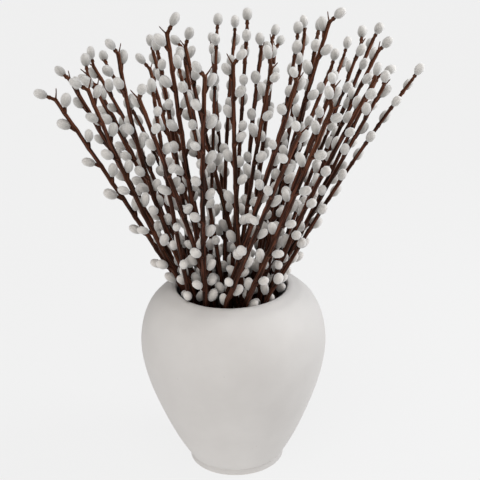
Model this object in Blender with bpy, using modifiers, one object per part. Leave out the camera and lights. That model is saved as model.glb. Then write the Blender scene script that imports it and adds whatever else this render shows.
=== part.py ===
# Pussy willow twigs standing in a plain, round-shouldered ceramic vase.
# Metres, +Z up. The origin is the centre of the vase's resting face, and the front faces -Y.

import math
import random

import bmesh
import bpy
import numpy as np
from mathutils import Matrix, Vector

MM = 0.001

# Vase: a turned body on a short foot, drawn in to a wide mouth with a rounded lip.
MOUTH_HEIGHT = 235 * MM
MOUTH_RADIUS = 67.5 * MM
FOOT_RADIUS = 59.5 * MM
FOOT_HEIGHT = 8 * MM
FOOT_CHAMFER = 1.5 * MM
WALL = 5.5 * MM
FLOOR_THICKNESS = 8 * MM
FLOOR_EDGE_SHARE = 0.92  # how far the flat floor reaches inside the foot's wall
LIP_RADIUS = WALL / 2
BODY_OUTLINE = [  # radius and height of the outside, foot to lip, in millimetres
    (60.5, 9), (77.5, 40), (94.5, 80), (108, 120), (114.5, 157), (112, 187), (103, 211), (89.5, 226), (78, 232.5),
]
VASE_SEGMENTS = 32

# Twig: a thin stem with catkins in two opposite rows, and a short side shoot that carries the last catkin.
STEM_BASE_RADIUS = 3.1 * MM
STEM_TOP_RADIUS = 2.2 * MM
PLAIN_SHARE = 0.4  # the share of a stem's length, from its cut end, that doesn't taper
BEND_BELOW_MOUTH = 0.55  # where the solid stem bends inside the vase, as a share of the way to the mouth
RUNS_ABOVE = 3
STANDING_GAP = 0.3 * MM
SHOOT_LENGTH = 10 * MM
SHOOT_ANGLE = math.radians(36)
SHOOT_RADIUS = 1.9 * MM
TWIGLET_LENGTH = 12.5 * MM
TWIGLET_RADIUS = 0.75 * MM
TWIGLET_TAPER = (1.3, 0.6)
TWIGLET_ANGLE = math.radians(43)
CATKIN_LENGTH = 17.6 * MM
CATKIN_RADIUS = 5.7 * MM
CATKIN_BELLY = 1.2
CATKIN_SHOULDER = 1.02
CATKIN_ANGLE = math.radians(36)
CLOSE_ANGLE_SHARE = 0.72  # a catkin without room leans out by this share of its angle instead
CATKIN_SIZES = (0.91, 1.07)
LAST_SIZE = 0.96
LOWER_SHRINK = 0.08  # how much smaller a catkin at the stem's cut end would be than one at its fork
FRONT_SHRINK = 0.8  # how much smaller a catkin is per metre that it stands in front of the vase's axis
CATKIN_BALLS = [  # a catkin as balls on its axis: distance from its base and radius
    (-2 * MM, 2.2 * MM), (1.5 * MM, 3.6 * MM), (5.5 * MM, 5.8 * MM), (9.5 * MM, 5.8 * MM), (13.1 * MM, 4.8 * MM),
]
LEAN_JITTER = (-4, 5)
TURN_JITTER = (-10, 10)
SWINGS = [0, 18, -18, 36, -36, 56, -56, 78, -78, 104, -104, 132, -132, 160, -160]
PEG_LENGTH = 3.2 * MM
ROOT_DEPTH = 1.8 * MM
FIRST_NODE = 18 * MM
NODE_SPACING = 25.3 * MM
NODE_JITTER = 4 * MM
LOWEST_NODE = MOUTH_HEIGHT - 25 * MM
LEFT_OUT = 3  # the solids leave out every third side catkin, and those inside the mouth

# Each twig: the x, y and height of its last catkin's middle, the side that its shoot turns to in degrees
# (0 is +X, 90 is away from the front), its x and y at the mouth, how far it bows towards +X, and its girth.
# Lengths are in millimetres, and a girth of 1 is the radius above.
TWIGS = [
    # front, leaning towards the viewer
    (-29, -150, 541, 209, -31, -53, -3, 1.05),
    (69, -190, 488, 211, -7, -60, -1, 1.00),
    (105, -160, 515, 135, 16, -59, 1, 1.10),
    (-84, -130, 515, 323, -24, -38, 2, 1.06),
    (19, -92, 540, 325, 11, -27, -2, 0.98),
    (72, -120, 526, 226, -6, -35, 1, 1.14),
    (161, -100, 523, 91, 46, -29, -6, 0.98),
    (-78, -92, 510, 98, -50, -36, -2, 0.92),
    (46, -70, 537, 127, 4, -20, -2, 0.92),
    (114, -82, 509, 226, 35, -24, -5, 1.04),
    # middle, left to right
    (-210, -20, 485, 182, -62, 0, 1, 0.98),
    (-163, -72, 508, 213, -57, -6, -5, 1.00),
    (-197, 60, 492, 127, -55, 17, 1, 1.08),
    (-160, 18, 515, 68, -41, 5, 1, 0.82),
    (-161, 92, 507, 307, -47, 27, 9, 0.90),
    (-127, -38, 542, 239, -50, -11, -11, 1.00),
    (-81, 62, 520, 98, -51, 18, 3, 1.02),
    (-52, -38, 569, 18, -34, -11, 0, 1.08),
    (-50, -64, 528, 97, -11, -19, 4, 0.84),
    (-42, 70, 532, 319, 19, 20, -4, 1.02),
    (-7, 60, 549, 87, -27, 17, -1, 0.80),
    (27, 18, 562, 93, 3, 5, -1, 0.88),
    (40, 22, 532, 250, 13, 6, -4, 0.96),
    (86, 32, 542, 92, 25, 9, 2, 0.90),
    (111, 24, 546, 80, 33, 7, 5, 0.98),
    (129, -22, 568, 311, 34, -6, -5, 0.98),
    (163, 60, 530, 103, 47, 17, 1, 0.84),
    (183, -10, 531, 284, 53, -3, -6, 0.90),
    (175, -60, 504, 233, 45, -17, 0, 0.86),
    (213, -46, 508, 252, 41, -46, -7, 0.80),
    # back, leaning away
    (-151, 130, 495, 81, -43, 38, 10, 0.82),
    (-181, 150, 461, 200, -46, 40, 0, 0.94),
    (-93, 142, 510, 278, -27, 41, 2, 0.96),
    (-64, 152, 507, 145, -19, 44, 0, 1.02),
    (12, 112, 536, 264, -8, 33, -5, 0.86),
    (63, 104, 525, 68, 18, 30, 4, 0.84),
    (99, 122, 532, 254, 29, 35, 6, 0.98),
    (138, 150, 484, 258, 40, 43, -5, 1.04),
    (153, 138, 501, 261, 44, 40, -1, 0.86),
    (187, 92, 527, 272, 54, 27, -1, 0.96),
    (200, 80, 478, 20, 56, 23, 0, 0.90),
    (-112, 190, 476, 220, -33, 52, 0, 1.04),
    (-18, 196, 500, 90, -5, 57, 0, 0.94),
    (72, 192, 494, 60, 20, 56, 0, 1.00),
]

# How the stems stand clear of each other inside and above the mouth.
FLOOR_SHARE = 0.55  # a stem's distance from the axis on the vase's floor, as a share of that at the mouth
SPREAD_POWER = 2.5
STEM_SPACING = 12 * MM
LEVEL_STEP = 25 * MM
RELAX_ROUNDS = 80
RELAX_PUSH = 0.3
CURVE_STEPS = 6
RIM_GAP = 1.2 * MM
CLEARANCE = 0.7 * MM
STEM_ALLOWANCE = 0.9 * MM
STEM_SAMPLING = 4 * MM
WALL_SAMPLES = 8
SEED = 11


# Outlines

def through(points, steps):
    # Points on a smooth curve through the given ones.
    pts = [Vector(p) for p in points]
    pts = [2 * pts[0] - pts[1]] + pts + [2 * pts[-1] - pts[-2]]
    curve = []
    for a, b, c, d in zip(pts, pts[1:], pts[2:], pts[3:]):
        for i in range(steps):
            t = i / steps
            curve.append(0.5 * (2 * b + (c - a) * t + (2 * a - 5 * b + 4 * c - d) * t * t
                                + (3 * b - a - 3 * c + d) * t ** 3))
    return curve + [pts[-2]]


def body_outline():
    return [Vector((r, z)) * MM for r, z in BODY_OUTLINE]


def inner_outline():
    # The outside moved inwards by the wall, between the floor and the lip.
    outside = body_outline()
    inner = []
    for before, here, after in zip(outside, outside[1:], outside[2:]):
        along = (after - before).normalized()
        inner.append(here + Vector((-along.y, along.x)) * WALL)
    return inner


def floor_edge():
    return Vector(((FOOT_RADIUS - WALL) * FLOOR_EDGE_SHARE, FLOOR_THICKNESS))


def lip_outline():
    # Half a circle from the inside of the mouth, over the top, to the shoulder.
    centre = Vector((MOUTH_RADIUS + LIP_RADIUS, MOUTH_HEIGHT - LIP_RADIUS))
    turns = [math.radians(a) for a in (230, 180, 135, 90)]
    return [centre + LIP_RADIUS * Vector((math.cos(a), math.sin(a))) for a in turns]


def vase_profile():
    profile = [Vector((0, FLOOR_THICKNESS)), floor_edge()]
    profile += inner_outline() + lip_outline() + list(reversed(body_outline()))
    profile += [Vector((FOOT_RADIUS, FOOT_HEIGHT)), Vector((FOOT_RADIUS, FOOT_CHAMFER)),
                Vector((FOOT_RADIUS - FOOT_CHAMFER, 0)), Vector((0, 0))]
    return profile


# Where every stem stands

def shoot_side(along, turn):
    # A direction square to the stem, turned about it from +X.
    right = (Vector((1, 0, 0)) - along * along.x).normalized()
    angle = math.radians(turn)
    return right * math.cos(angle) + along.cross(right) * math.sin(angle)


def leaning(along, side, angle):
    return along * math.cos(angle) + side * math.sin(angle)


def forks():
    # The top of each main stem, where its side shoot and its twiglet part.
    tops = []
    for x, y, z, turn, mouth_x, mouth_y, _, _ in TWIGS:
        tip = Vector((x, y, z)) * MM
        mouth = Vector((mouth_x * MM, mouth_y * MM, MOUTH_HEIGHT))
        along = (tip - mouth).normalized()
        shoot = leaning(along, shoot_side(along, turn), SHOOT_ANGLE)
        tops.append(tip - shoot * (SHOOT_LENGTH + CATKIN_LENGTH / 2))
    return tops


def inside_radius(z):
    # How far from the axis a stem's centre may be at this height.
    outline = [floor_edge()] + inner_outline() + [Vector((MOUTH_RADIUS, MOUTH_HEIGHT - LIP_RADIUS))]
    room = np.interp(z, [p.y for p in outline], [p.x for p in outline])
    thickest = STEM_BASE_RADIUS * max(row[7] for row in TWIGS)
    return room - thickest - RIM_GAP if z <= MOUTH_HEIGHT + LEVEL_STEP / 2 else math.inf


def stem_levels():
    # Heights shared by all stems, with one at the mouth, and each stem's x and y there, moved clear of the others.
    tops = forks()
    floor = FLOOR_THICKNESS + STANDING_GAP
    below = round((MOUTH_HEIGHT - floor) / LEVEL_STEP)
    above = math.ceil((max(t.z for t in tops) - MOUTH_HEIGHT) / LEVEL_STEP) + 1
    heights = np.concatenate([np.linspace(floor, MOUTH_HEIGHT, below + 1),
                              MOUTH_HEIGHT + LEVEL_STEP * np.arange(1, above + 1)])
    first = np.zeros((len(tops), len(heights), 2))
    for k, top in enumerate(tops):
        end = np.array(top[:2])
        mouth = np.array(TWIGS[k][4:6]) * MM
        bow = np.array((TWIGS[k][6] * MM, 0))
        for j, z in enumerate(heights):
            if z <= MOUTH_HEIGHT:
                first[k, j] = mouth * (FLOOR_SHARE + (1 - FLOOR_SHARE) * (z / MOUTH_HEIGHT) ** SPREAD_POWER)
            else:
                rise = (z - MOUTH_HEIGHT) / (top.z - MOUTH_HEIGHT)
                first[k, j] = mouth + (end - mouth) * rise + bow * 4 * rise * (1 - rise)
    places = first.copy()
    limits = np.array([inside_radius(z) for z in heights])
    for _ in range(RELAX_ROUNDS):
        apart = places[:, None] - places[None]
        distance = np.linalg.norm(apart, axis=-1)
        distance[np.arange(len(tops)), np.arange(len(tops))] = 1
        push = np.clip(STEM_SPACING - distance, 0, None) / np.maximum(distance, 1e-6)
        moved = places + RELAX_PUSH * (apart * push[..., None]).sum(axis=1) - first
        moved[:, 1:-1] = 0.5 * moved[:, 1:-1] + 0.25 * (moved[:, :-2] + moved[:, 2:])
        places = first + moved
        radius = np.linalg.norm(places, axis=-1)
        places *= np.minimum(1, limits / np.maximum(radius, 1e-6))[..., None]
    return heights, places, tops


def stem_lines():
    # A smooth line of points up the middle of each stem, from its cut end to its fork.
    heights, places, tops = stem_levels()
    lines = []
    for k, top in enumerate(tops):
        knots = [Vector((*places[k, j], z)) for j, z in enumerate(heights)]
        curve = through(knots, CURVE_STEPS)
        line = [p for p in curve if p.z < top.z - 2 * MM]
        zs = [p.z for p in curve]
        x, y = (np.interp(top.z, zs, [p[i] for p in curve]) for i in (0, 1))
        lines.append(line + [Vector((x, y, top.z))])
    return lines


def stem_radius(share, girth):
    # From the cut end, share 0, to the fork, share 1. The stem is plain inside the vase and then tapers.
    taper = max(0.0, share - PLAIN_SHARE) / (1 - PLAIN_SHARE)
    return girth * (STEM_BASE_RADIUS + (STEM_TOP_RADIUS - STEM_BASE_RADIUS) * taper)


class Line:
    # A stem's middle line, read by the distance along it.
    def __init__(self, points, girth):
        self.girth = girth
        self.points = np.array([tuple(p) for p in points])
        steps = np.linalg.norm(np.diff(self.points, axis=0), axis=1)
        self.at = np.concatenate([[0], np.cumsum(steps)])
        self.length = float(self.at[-1])

    def point(self, s):
        return Vector([np.interp(s, self.at, self.points[:, i]) for i in range(3)])

    def along(self, s):
        return (self.point(min(s + 2 * MM, self.length)) - self.point(s - 2 * MM)).normalized()

    def radius(self, s):
        return stem_radius(s / self.length, self.girth)


# Where every catkin sits

def catkin_balls(base, axis, size):
    # A catkin as a row of balls: their centres and radii.
    centres = np.array([tuple(base + axis * (d * size)) for d, _ in CATKIN_BALLS])
    return centres, np.array([r * size for _, r in CATKIN_BALLS])


class Room:
    # What a catkin has to stay clear of: the stems, the vase and the catkins already placed.
    def __init__(self, lines):
        stations = [np.arange(0, line.length, STEM_SAMPLING) for line in lines]
        self.stem_points = np.concatenate(
            [np.array([tuple(line.point(s)) for s in at]) for line, at in zip(lines, stations)])
        self.stem_radii = np.concatenate(
            [np.array([line.radius(s) for s in at]) for line, at in zip(lines, stations)]) + STEM_ALLOWANCE
        self.stem_of = np.concatenate([np.full(len(at), k) for k, at in enumerate(stations)])
        wall = inner_outline() + lip_outline() + list(reversed(body_outline()))
        dense = [a.lerp(b, t / WALL_SAMPLES) for a, b in zip(wall, wall[1:]) for t in range(WALL_SAMPLES)]
        self.wall = np.array([tuple(p) for p in dense])
        self.centres = np.zeros((0, 3))
        self.radii = np.zeros(0)

    def clear(self, k, centres, radii):
        others = self.stem_of != k
        for points, sizes in ((self.stem_points[others], self.stem_radii[others]), (self.centres, self.radii)):
            gaps = np.linalg.norm(points[None] - centres[:, None], axis=-1) - sizes[None] - radii[:, None]
            if gaps.size and gaps.min() < CLEARANCE:
                return False
        flat = np.stack([np.hypot(centres[:, 0], centres[:, 1]), centres[:, 2]], axis=1)
        gaps = np.linalg.norm(self.wall[None] - flat[:, None], axis=-1) - radii[:, None]
        return gaps.min() > CLEARANCE

    def add(self, centres, radii):
        self.centres = np.concatenate([self.centres, centres])
        self.radii = np.concatenate([self.radii, radii])


def depth_share(place):
    return 1 + FRONT_SHRINK * min(0, place.y)


def seat(room, line, k, s, turn, draw):
    # The first way round the stem, from the wished one, in which a catkin at s is clear of everything.
    along = line.along(s)
    size = draw.uniform(*CATKIN_SIZES) * (1 - LOWER_SHRINK * (1 - s / line.length)) * depth_share(line.point(s))
    lean = CATKIN_ANGLE + math.radians(draw.uniform(*LEAN_JITTER))
    turn += draw.uniform(*TURN_JITTER)
    for angle in (lean, lean * CLOSE_ANGLE_SHARE):
        for swing in SWINGS:
            axis = leaning(along, shoot_side(along, turn + swing), angle)
            base = line.point(s) + axis * (line.radius(s) / math.sin(angle) + PEG_LENGTH)
            centres, radii = catkin_balls(base, axis, size)
            if room.clear(k, centres, radii):
                room.add(centres, radii)
                return base, axis, size
    return None


def twigs():
    # Each twig: its stem's line, its shoot's end and way, its twiglet's end, and its side catkins.
    lines = [Line(points, row[7]) for points, row in zip(stem_lines(), TWIGS)]
    room = Room(lines)
    grown = []
    for k, line in enumerate(lines):
        turn = TWIGS[k][3]
        fork, along = line.point(line.length), line.along(line.length)
        shoot = leaning(along, shoot_side(along, turn), SHOOT_ANGLE)
        twiglet = leaning(along, shoot_side(along, turn + 180), TWIGLET_ANGLE)
        end = fork + shoot * SHOOT_LENGTH
        last_size = LAST_SIZE * depth_share(end)
        room.add(*catkin_balls(end, shoot, last_size))
        grown.append({"line": line, "fork": fork, "end": end, "shoot": shoot, "last_size": last_size,
                      "twiglet": fork + twiglet * TWIGLET_LENGTH, "catkins": []})
    draw = random.Random(SEED)
    for k, twig in enumerate(grown):
        s = twig["line"].length - FIRST_NODE
        side = 180
        number = 1
        while twig["line"].point(s).z > LOWEST_NODE:
            catkin = seat(room, twig["line"], k, s, TWIGS[k][3] + side, draw)
            if catkin:
                twig["catkins"].append((number, s, catkin))
            s -= NODE_SPACING + draw.uniform(-NODE_JITTER, NODE_JITTER)
            side = 180 - side
            number += 1
    return grown


# Solids

def clear_scene():
    for obj in list(bpy.data.objects):
        bpy.data.objects.remove(obj)


def material(name, colour, roughness):
    made = bpy.data.materials.new(name)
    made.use_nodes = True
    shader = made.node_tree.nodes["Principled BSDF"]
    shader.inputs["Base Color"].default_value = (*colour, 1)
    shader.inputs["Roughness"].default_value = roughness
    shader.inputs["Metallic"].default_value = 0
    return made


def collection(name):
    made = bpy.data.collections.new(name)
    bpy.context.scene.collection.children.link(made)
    return made


def make_vase(home, glaze):
    profile = vase_profile()
    mesh = bpy.data.meshes.new("vase")
    mesh.from_pydata([(p.x, 0, p.y) for p in profile], [(i, i + 1) for i in range(len(profile) - 1)], [])
    vase = bpy.data.objects.new("vase", mesh)
    home.objects.link(vase)
    vase.data.materials.append(glaze)
    turn = vase.modifiers.new("turn", "SCREW")
    turn.steps = turn.render_steps = VASE_SEGMENTS
    turn.use_merge_vertices = True
    turn.merge_threshold = 0.01 * MM
    turn.use_smooth_shade = True
    return vase


def tube(name, points, radii, looks, home):
    # A stem with six sides, its caps welded on, as a mesh.
    curve = bpy.data.curves.new(name, "CURVE")
    curve.dimensions = "3D"
    curve.bevel_depth = 1
    curve.bevel_resolution = 1
    curve.use_fill_caps = True
    spline = curve.splines.new("POLY")
    spline.points.add(len(points) - 1)
    for point, place, radius in zip(spline.points, points, radii):
        point.co = (*place, 1)
        point.radius = radius
    guide = bpy.data.objects.new(name + "_curve", curve)
    home.objects.link(guide)
    graph = bpy.context.evaluated_depsgraph_get()
    mesh = bpy.data.meshes.new_from_object(guide.evaluated_get(graph))
    bpy.data.objects.remove(guide)
    shape = bmesh.new()
    shape.from_mesh(mesh)
    bmesh.ops.remove_doubles(shape, verts=shape.verts, dist=0.001 * MM)
    shape.to_mesh(mesh)
    shape.free()
    mesh.materials.clear()
    for look in looks:
        mesh.materials.append(look)
    mesh.name = name
    stem = bpy.data.objects.new(name, mesh)
    home.objects.link(stem)
    return stem


def stem_stations(line):
    # Distances up the stem where the solid bends: once inside the vase, at the mouth and evenly above it.
    mouth = float(np.interp(MOUTH_HEIGHT, line.points[:, 2], line.at))
    above = [mouth + (line.length - mouth) * i / RUNS_ABOVE for i in range(RUNS_ABOVE + 1)]
    return [0, mouth * BEND_BELOW_MOUTH] + above


def stem_middle(line, s):
    # The middle of the solid stem, which runs straight between its stations.
    stations = stem_stations(line)
    corners = [line.point(t) for t in stations]
    return Vector([np.interp(s, stations, [corner[i] for corner in corners]) for i in range(3)])


def make_stem(name, twig, looks, home):
    line = twig["line"]
    stations = stem_stations(line)
    points = [line.point(s) for s in stations]
    radii = [line.radius(s) for s in stations]
    lean = (points[1] - points[0]).normalized()
    points[0].z += radii[0] * math.hypot(lean.x, lean.y)
    points.append(twig["end"] + twig["shoot"] * 2 * MM)
    radii.append(SHOOT_RADIUS * line.girth)
    return tube(name, points, radii, looks, home)


def standing(axis, at):
    # The placing that turns +Z to an axis and moves the origin to a point.
    return Matrix.Translation(at) @ axis.to_track_quat("Z", "X").to_matrix().to_4x4()


def make_catkin(base, axis, size, root, looks, home):
    # An egg with four sides, whose lower end is drawn out into the peg that roots it in the stem.
    mesh = bpy.data.meshes.new("catkin")
    shape = bmesh.new()
    bmesh.ops.create_uvsphere(shape, u_segments=4, v_segments=3, radius=1)
    half = CATKIN_LENGTH / 2 * size
    lowest = min(shape.verts, key=lambda v: v.co.z)
    for vert in shape.verts:
        wide = CATKIN_RADIUS * size * (CATKIN_BELLY if vert.co.z < 0 else CATKIN_SHOULDER)
        vert.co = Vector((vert.co.x * wide, vert.co.y * wide, half + vert.co.z * half))
    place = standing(axis, base)
    lowest.co = place.inverted() @ root
    for face in shape.faces:
        face.material_index = 1
    shape.to_mesh(mesh)
    shape.free()
    mesh.transform(place)
    for look in looks:
        mesh.materials.append(look)
    catkin = bpy.data.objects.new("catkin", mesh)
    home.objects.link(catkin)
    return catkin


def make_twiglet(twig, looks, home):
    # The thin bare tip beside the shoot, a three-sided spike.
    mesh = bpy.data.meshes.new("twiglet")
    axis = (twig["twiglet"] - twig["fork"]).normalized()
    shape = bmesh.new()
    wide, narrow = (TWIGLET_RADIUS * share for share in TWIGLET_TAPER)
    bmesh.ops.create_cone(shape, cap_ends=True, segments=3, radius1=wide, radius2=narrow, depth=TWIGLET_LENGTH)
    shape.to_mesh(mesh)
    shape.free()
    mesh.transform(standing(axis, twig["fork"] + axis * TWIGLET_LENGTH / 2))
    for look in looks:
        mesh.materials.append(look)
    spike = bpy.data.objects.new("twiglet", mesh)
    home.objects.link(spike)
    return spike


def fuse(stem, grown_on_it):
    # Joins what grows on a stem to it as one body.
    union = stem.modifiers.new("grown together", "BOOLEAN")
    union.operation = "UNION"
    union.operand_type = "COLLECTION"
    union.collection = grown_on_it
    graph = bpy.context.evaluated_depsgraph_get()
    fused = bpy.data.meshes.new_from_object(stem.evaluated_get(graph))
    fused.name = stem.name
    stem.modifiers.remove(union)
    stem.data = fused
    for obj in list(grown_on_it.objects):
        bpy.data.objects.remove(obj)
    bpy.data.collections.remove(grown_on_it)


def make_twig(number, twig, looks, home):
    name = f"twig_{number:02d}"
    stem = make_stem(name, twig, looks, home)
    growth = collection(name + "_growth")
    make_twiglet(twig, looks, growth)
    end, shoot = twig["end"], twig["shoot"]
    make_catkin(end, shoot, twig["last_size"], end - shoot * ROOT_DEPTH, looks, growth)
    line = twig["line"]
    for node, s, (base, axis, size) in twig["catkins"]:
        if node % LEFT_OUT and line.point(s).z > MOUTH_HEIGHT:
            root = base - axis * (PEG_LENGTH + ROOT_DEPTH) + stem_middle(line, s) - line.point(s)
            make_catkin(base, axis, size, root, looks, growth)
    fuse(stem, growth)
    stem.data.set_sharp_from_angle(angle=math.radians(50))
    return stem


def main():
    clear_scene()
    home = collection("pussy willow in a vase")
    glaze = material("matt white glaze", (0.74, 0.73, 0.71), 0.6)
    bark = material("dark willow bark", (0.075, 0.028, 0.018), 0.55)
    down = material("silver catkin down", (0.72, 0.72, 0.70), 0.85)
    make_vase(home, glaze)
    for number, twig in enumerate(twigs(), start=1):
        make_twig(number, twig, (bark, down), home)


main()
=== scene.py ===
import math
import random

import bpy
import numpy as np
from mathutils import Matrix, Vector


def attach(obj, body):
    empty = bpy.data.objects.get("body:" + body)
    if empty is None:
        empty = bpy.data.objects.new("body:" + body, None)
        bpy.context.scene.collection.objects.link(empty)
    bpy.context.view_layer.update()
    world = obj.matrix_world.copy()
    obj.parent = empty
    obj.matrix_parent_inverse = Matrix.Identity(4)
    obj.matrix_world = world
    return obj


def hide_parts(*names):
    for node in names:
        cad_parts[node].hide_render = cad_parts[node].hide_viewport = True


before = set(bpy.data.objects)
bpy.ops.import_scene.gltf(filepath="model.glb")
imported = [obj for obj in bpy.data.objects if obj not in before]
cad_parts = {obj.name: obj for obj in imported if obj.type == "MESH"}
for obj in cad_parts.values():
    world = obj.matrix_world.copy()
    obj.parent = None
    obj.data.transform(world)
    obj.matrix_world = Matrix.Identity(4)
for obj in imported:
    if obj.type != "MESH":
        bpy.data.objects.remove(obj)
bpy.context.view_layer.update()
mm = 0.001
print("frame loaded,", len(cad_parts), "solids")

# The camera stands where the photograph was taken from.
cameraView = {
    "pitch": 21.5,  # degrees below level
    "roll": -1.62,  # degrees
    "distance": 1.388,
    "lookAt": (0.0116, 0, 0.2933),
    "imagePixels": 480,
    "focalPixels": 1150,  # in an image of that width
    "sensorWidth": 36,  # millimetres
    "clipStart": 0.05,
}


def placeCamera(view):
    pitch, roll = math.radians(view["pitch"]), math.radians(view["roll"])
    forward = Vector((0, math.cos(pitch), -math.sin(pitch)))
    level, upright = Vector((1, 0, 0)), Vector((0, math.sin(pitch), math.cos(pitch)))
    across = level * math.cos(roll) + upright * math.sin(roll)
    upward = upright * math.cos(roll) - level * math.sin(roll)
    bpy.ops.object.camera_add()
    camera = bpy.context.object
    camera.name = "photoCamera"
    stand = Matrix((across, upward, -forward)).transposed().to_4x4()
    stand.translation = Vector(view["lookAt"]) - forward * view["distance"]
    camera.matrix_world = stand
    camera.data.sensor_width = view["sensorWidth"]
    camera.data.lens = view["sensorWidth"] * view["focalPixels"] / view["imagePixels"]
    camera.data.clip_start = view["clipStart"]
    bpy.context.scene.camera = camera


placeCamera(cameraView)
print("camera placed")

# Helpers for modelling by operators.


def deselectAll():
    if bpy.context.object and bpy.context.object.mode != "OBJECT":
        bpy.ops.object.mode_set(mode="OBJECT")
    bpy.ops.object.select_all(action="DESELECT")


def selectOnly(objects):
    deselectAll()
    for obj in objects:
        obj.select_set(True)
    bpy.context.view_layer.objects.active = objects[0]


def startEdit(obj):
    selectOnly([obj])
    bpy.ops.object.mode_set(mode="EDIT")
    bpy.ops.mesh.select_mode(type="VERT")
    bpy.ops.mesh.select_all(action="SELECT")


def endEdit():
    # Turns the faces outwards on the way out.
    bpy.ops.mesh.select_all(action="SELECT")
    bpy.ops.mesh.normals_make_consistent(inside=False)
    bpy.ops.mesh.faces_shade_smooth()
    bpy.ops.object.mode_set(mode="OBJECT")


def selectVerts(obj, wanted):
    # Selects the points that wanted() accepts, by their place, and stays in edit mode.
    bpy.ops.mesh.select_all(action="DESELECT")
    bpy.ops.object.mode_set(mode="OBJECT")
    for vert in obj.data.vertices:
        vert.select = bool(wanted(vert.co))
    bpy.ops.object.mode_set(mode="EDIT")


def extrudeTo(rise, wider):
    # Draws the selected ring up, and then makes it wider by that share.
    bpy.ops.mesh.extrude_region_move(TRANSFORM_OT_translate={"value": (0, 0, rise)})
    bpy.ops.transform.resize(value=(wider, wider, 1), center_override=(0, 0, 0))


def copyOf(model, place):
    # A copy with its own mesh, put in its place there.
    copy = bpy.data.objects.new(model.name + "Copy", model.data.copy())
    copy.data.transform(place)
    bpy.context.scene.collection.objects.link(copy)
    return copy


def nameBoth(obj, name):
    obj.name = obj.data.name = name
    return obj


def joinAll(name, parts):
    selectOnly(parts)
    bpy.ops.object.join()
    return nameBoth(bpy.context.object, name)


def readPoints(mesh):
    flat = np.empty(len(mesh.vertices) * 3, np.float32)
    mesh.vertices.foreach_get("co", flat)
    return flat.reshape(-1, 3)


def writeOwnPlace(mesh, places):
    # Where each point is on its own stem or catkin, which the patterns follow.
    old = mesh.attributes.get("ownPlace")
    layer = old or mesh.attributes.new("ownPlace", "FLOAT_VECTOR", "POINT")
    layer.data.foreach_set("vector", np.asarray(places, np.float32).ravel())


def shiftOwnPlace(mesh, shift):
    layer = mesh.attributes["ownPlace"]
    flat = np.empty(len(mesh.vertices) * 3, np.float32)
    layer.data.foreach_get("vector", flat)
    writeOwnPlace(mesh, flat.reshape(-1, 3) + np.array(shift, np.float32))


def throughPoints(points, steps):
    # Points on a smooth curve through the given ones.
    pts = [Vector(p) for p in points]
    pts = [2 * pts[0] - pts[1]] + pts + [2 * pts[-1] - pts[-2]]
    curve = []
    for a, b, c, d in zip(pts, pts[1:], pts[2:], pts[3:]):
        for i in range(steps):
            t = i / steps
            curve.append(0.5 * (2 * b + (c - a) * t + (2 * a - 5 * b + 4 * c - d) * t * t
                                + (3 * b - a - 3 * c + d) * t ** 3))
    return curve + [pts[-2]]


# Vase: its measures are the solid's.
vaseShape = {
    "mouthHeight": 235 * mm,
    "mouthRadius": 67.5 * mm,
    "footRadius": 59.5 * mm,
    "footRound": 1.5 * mm,
    "wall": 5.5 * mm,
    "floor": 8 * mm,
    "floorReach": 0.92,  # how much of the room inside the foot is flat
    # From here on, a pair is a radius and a height in millimetres.
    "footWaist": [(0, 6.6), (-0.25, 7.6), (-0.35, 8.2)],  # the radius is past the foot's
    "body": [  # the outside, foot to lip
        (60.5, 9), (77.5, 40), (94.5, 80), (108, 120), (114.5, 157), (112, 187), (103, 211), (89.5, 226),
        (78, 232.5),
    ],
    "brim": [(73.6, 234.4), (70.2, 235)],
    "floorBend": [(2.5, 3.5), (0.6, 0.8), (-2, 0)],  # past the floor's edge
    "lipFacets": (230, 180, 135, 90),  # the solid's lip, in degrees
    "lipTurns": (110, 132, 154, 176, 198, 220),  # the rounder lip made here
    "undersideRing": 0.8,  # share of the foot's radius
    "floorRing": 20 * mm,
    "segments": 96,
    "ringsPerSpan": 4,
    "sharpAngle": math.radians(40),
}


def bodyOutline():
    return [Vector((r, z)) * mm for r, z in vaseShape["body"]]


def innerOutline():
    outside = bodyOutline()
    inner = []
    for before, here, after in zip(outside, outside[1:], outside[2:]):
        along = (after - before).normalized()
        inner.append(here + Vector((-along.y, along.x)) * vaseShape["wall"])
    return inner


def floorEdge():
    room = vaseShape["footRadius"] - vaseShape["wall"]
    return Vector((room * vaseShape["floorReach"], vaseShape["floor"]))


def lipOutline(turns):
    lip = vaseShape["wall"] / 2
    centre = Vector((vaseShape["mouthRadius"] + lip, vaseShape["mouthHeight"] - lip))
    return [centre + lip * Vector((math.cos(math.radians(a)), math.sin(math.radians(a)))) for a in turns]


def vaseRings():
    # From the middle of the underside, up the outside, over the lip and down the inside.
    foot, edge, steps = vaseShape["footRadius"], vaseShape["footRound"], vaseShape["ringsPerSpan"]
    rings = [Vector((foot * vaseShape["undersideRing"], 0)), Vector((foot - edge, 0))]
    for a in (-60, -30, 0):
        turn = math.radians(a)
        rings.append(Vector((foot - edge + edge * math.cos(turn), edge + edge * math.sin(turn))))
    rings += [Vector((foot + past * mm, z * mm)) for past, z in vaseShape["footWaist"]]
    rings += throughPoints(bodyOutline() + [Vector(p) * mm for p in vaseShape["brim"]], steps)
    rings += lipOutline(vaseShape["lipTurns"])
    bend = [floorEdge() + Vector(p) * mm for p in vaseShape["floorBend"]]
    rings += list(reversed(throughPoints(bend[:1] + innerOutline(), steps)))
    return rings + bend[1:] + [Vector((vaseShape["floorRing"], vaseShape["floor"]))]


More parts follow.
